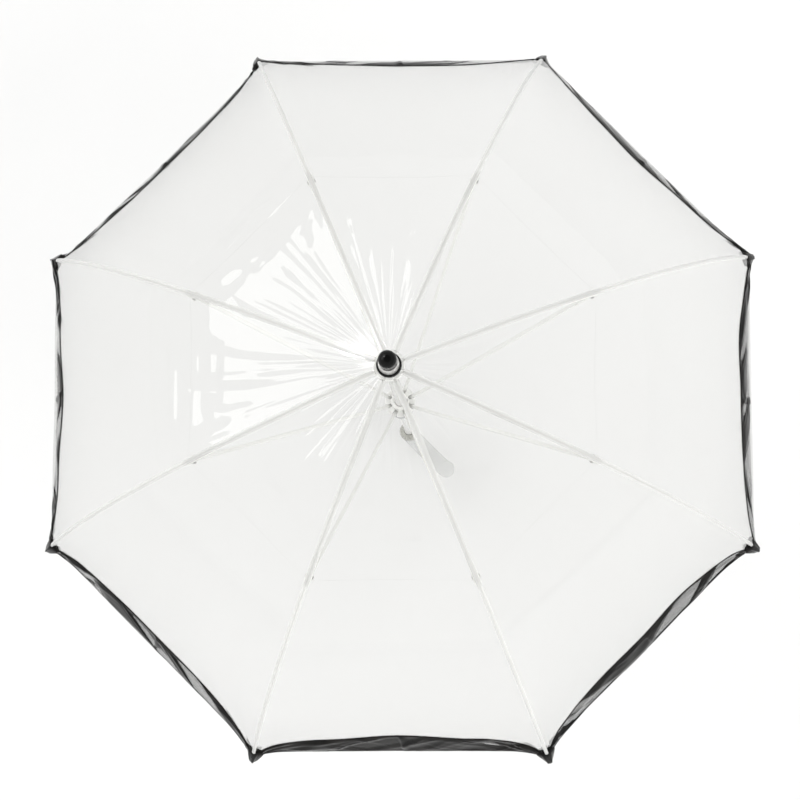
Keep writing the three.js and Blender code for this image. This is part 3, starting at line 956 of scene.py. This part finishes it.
def make_runner():
    bottom, top = PIVOT_Z - 50 * MM, PIVOT_Z + 10 * MM
    body, flange = 10 * MM, RUNNER_FLANGE_RADIUS
    half = math.radians(9.5)
    under, over = PIVOT_Z - 6 * MM, PIVOT_Z + 6 * MM
    outline = [(BORE, bottom), (body, bottom), (body, under), (flange, under),
               (flange, over), (body, over), (body, top), (BORE, top)]
    outline = rounded(outline, 0.8 * MM)
    key = [s * math.atan(KEYWAY_HALF / r) for r in (KEYWAY_DEPTH, BORE, 7 * MM) for s in (-1, 1)]

    def reach(r, z, angle):
        if r < BORE + 0.01 * MM:
            return keyed(angle)
        r = max(r, keyed(angle) + 0.3 * MM)
        return min(r, max(body, keyed(angle))) if from_rib(angle) <= half + 1e-6 else r

    points, faces = revolve(outline, angles=notch_angles(half, key), reach=reach)
    runner = piece("slide", points, faces, "white_plastic", "runner")
    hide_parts("runner")
    # The grip over its lower end has a raised ring at each end and fine ribs between them.
    low, high = PIVOT_Z - 62 * MM, PIVOT_Z - 20 * MM
    bore, ring, waist = 10.3 * MM, 13.8 * MM, 12.6 * MM
    outline = [(bore, low), (ring, low), (ring, low + 4 * MM)]
    for k in range(7):
        z = low + (8 + 4 * k) * MM
        outline += [(waist, z - 1.6 * MM), (waist, z + 0.6 * MM), (waist - 0.5 * MM, z + 1 * MM),
                    (waist - 0.5 * MM, z + 1.9 * MM)]
    outline += [(waist, high - 5.6 * MM), (ring, high - 4 * MM), (ring, high), (bore, high)]
    turned_piece("slide_grip", outline, "grey_plastic", "runner", "runner_grip", 0.5 * MM)


def make_shaft():
    """A thin tube with a slot for each catch."""
    radius, bore = SHAFT_RADIUS, SHAFT_BORE
    wall_steps, slot_steps, slot_gap = 60, 8, 0.4 * MM
    low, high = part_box("shaft")
    half = math.asin(KEYWAY_HALF / radius)
    slots = []
    for name in ("catch_bottom", "catch_top"):
        corner_low, corner_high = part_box(name)
        slots.append((corner_low.z - slot_gap, corner_high.z + slot_gap))
    levels = [low.z, *slots[0], *slots[1], high.z]
    angles = [half + (2 * math.pi - 2 * half) * k / wall_steps for k in range(wall_steps + 1)]
    angles += [2 * math.pi - half + 2 * half * k / slot_steps for k in range(1, slot_steps)]
    count = len(angles)
    points = [(r * math.cos(a), r * math.sin(a), z) for r in (bore, radius) for z in levels for a in angles]
    faces = []

    def at(shell_index, level, k):
        return (shell_index * len(levels) + level) * count + k % count

    def wall(side, level, k):
        below = at(side, level, k), at(side, level, k + 1)
        above = at(side, level + 1, k + 1), at(side, level + 1, k)
        faces.append(below + above)

    def ledge(level, k):
        faces.append((at(0, level, k), at(0, level, k + 1), at(1, level, k + 1), at(1, level, k)))

    for level in range(len(levels) - 1):
        open_here = level in (1, 3)
        for k in range(wall_steps if open_here else count):
            for side in (0, 1):
                wall(side, level, k)
        if open_here:
            for k in (0, wall_steps):
                faces.append((at(0, level, k), at(1, level, k), at(1, level + 1, k), at(0, level + 1, k)))
            for edge in (level, level + 1):
                for k in range(wall_steps, count):
                    ledge(edge, k)
    for edge in (0, len(levels) - 1):
        for k in range(count):
            ledge(edge, k)
    shaft = piece("stick", points, faces, "stick", "root")
    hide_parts("shaft")


def make_catches():
    for name in ("catch_top", "catch_bottom"):
        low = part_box(name)[0]
        outline = [(1.5, 0), (5.5, 0), (8, 8), (8, 11), (1.5, 11)]
        outline = rounded([(x * MM, low.z + z * MM) for x, z in outline], 0.9 * MM, 4)
        rings = [[(x, y * MM, z) for x, z in outline] for y in (-1.5, 1.5)]
        points, faces = loft(rings)
        catch = piece(f"{name}_spring", points, faces, "steel", name)
        crease(catch, 0.25 * MM, 2, 60)
        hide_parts(name)


def make_handle():
    low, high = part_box("handle_collar")
    outline = [(BORE, low.z), (13 * MM, low.z), (13 * MM, high.z - 11 * MM), (11.4 * MM, high.z - 4 * MM),
               (7.6 * MM, high.z), (BORE, high.z)]
    outline = rounded(outline, 2 * MM, 5)

    def fluted(r, z, angle):
        depth = 1.1 * MM * min(1, max(0, (r - 6.5 * MM) / (4 * MM)))
        return r - depth * (1 - abs(math.cos(10 * angle)) ** 0.7)

    points, faces = revolve(outline, 320, reach=fluted)
    collar = piece("fluted_collar", points, faces, "smoke", "root")
    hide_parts("handle_collar")
    # The crook: a straight neck, half a circle and a rounded toe, round a blind socket.
    radius, bend, azimuth = 11 * MM, 35 * MM, math.radians(-45)
    top = low.z - 0.3 * MM
    centre = bend + radius
    toe = centre + 26 * MM
    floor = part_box("shaft")[0].z - 0.3 * MM
    stations = [(0, floor, 0, BORE), (0, top, 0, BORE)]
    for drop, size in ((0, 10.6), (0.4, 11.3), (1.4, 11.6), (7, 11.5), (10, 11.1), (13, 11)):
        stations.append((0, top - drop * MM, 0, size * MM))
    for k in range(49):
        a = math.pi * k / 48
        stations.append((bend * (1 - math.cos(a)), centre - bend * math.sin(a), -a, radius))
    rises = (0.3, 0.6, 0.72, 0.82, 0.9, 0.96, 0.99, 1)
    shares = (1, 1, 0.985, 0.93, 0.82, 0.62, 0.36, 0.12)
    for rise, share in zip(rises, shares):
        stations.append((2 * bend, centre + (toe - centre) * rise, -math.pi, radius * share))
    rings = []
    for x, z, turn, size in stations:
        ring = []
        for k in range(48):
            a = 2 * math.pi * k / 48
            up, side = size * math.cos(a), size * math.sin(a)
            ring.append(turned((x + up * math.cos(turn), side, z + up * math.sin(turn)), azimuth))
        rings.append(ring)
    points, faces = loft(rings)
    # Its frosted grey also paints the soft shadow that lies below and right of the collar.
    crook = piece("crook", points, faces, "frosted", "root")
    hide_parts("handle")


# ---------------------------------------------------------------- build

make_camera()
make_lights()
make_floor()
make_film()
make_hem()
for rib in range(RIBS):
    make_rib(rib)
    make_rod(rib)
    make_sleeve(rib)
    make_stretcher(rib)
    make_weld(rib)
    make_pocket(rib)
make_ferrule()
make_hub()
make_shaft()
make_catches()
make_runner()
make_handle()
wire_ring("hub_wire", 10.6 * MM, CROWN_Z - 12 * MM, 0.55 * MM, "root")
wire_ring("runner_wire", 13 * MM, PIVOT_Z, 0.55 * MM, "runner")

bpy.context.scene.view_settings.view_transform = "Standard"
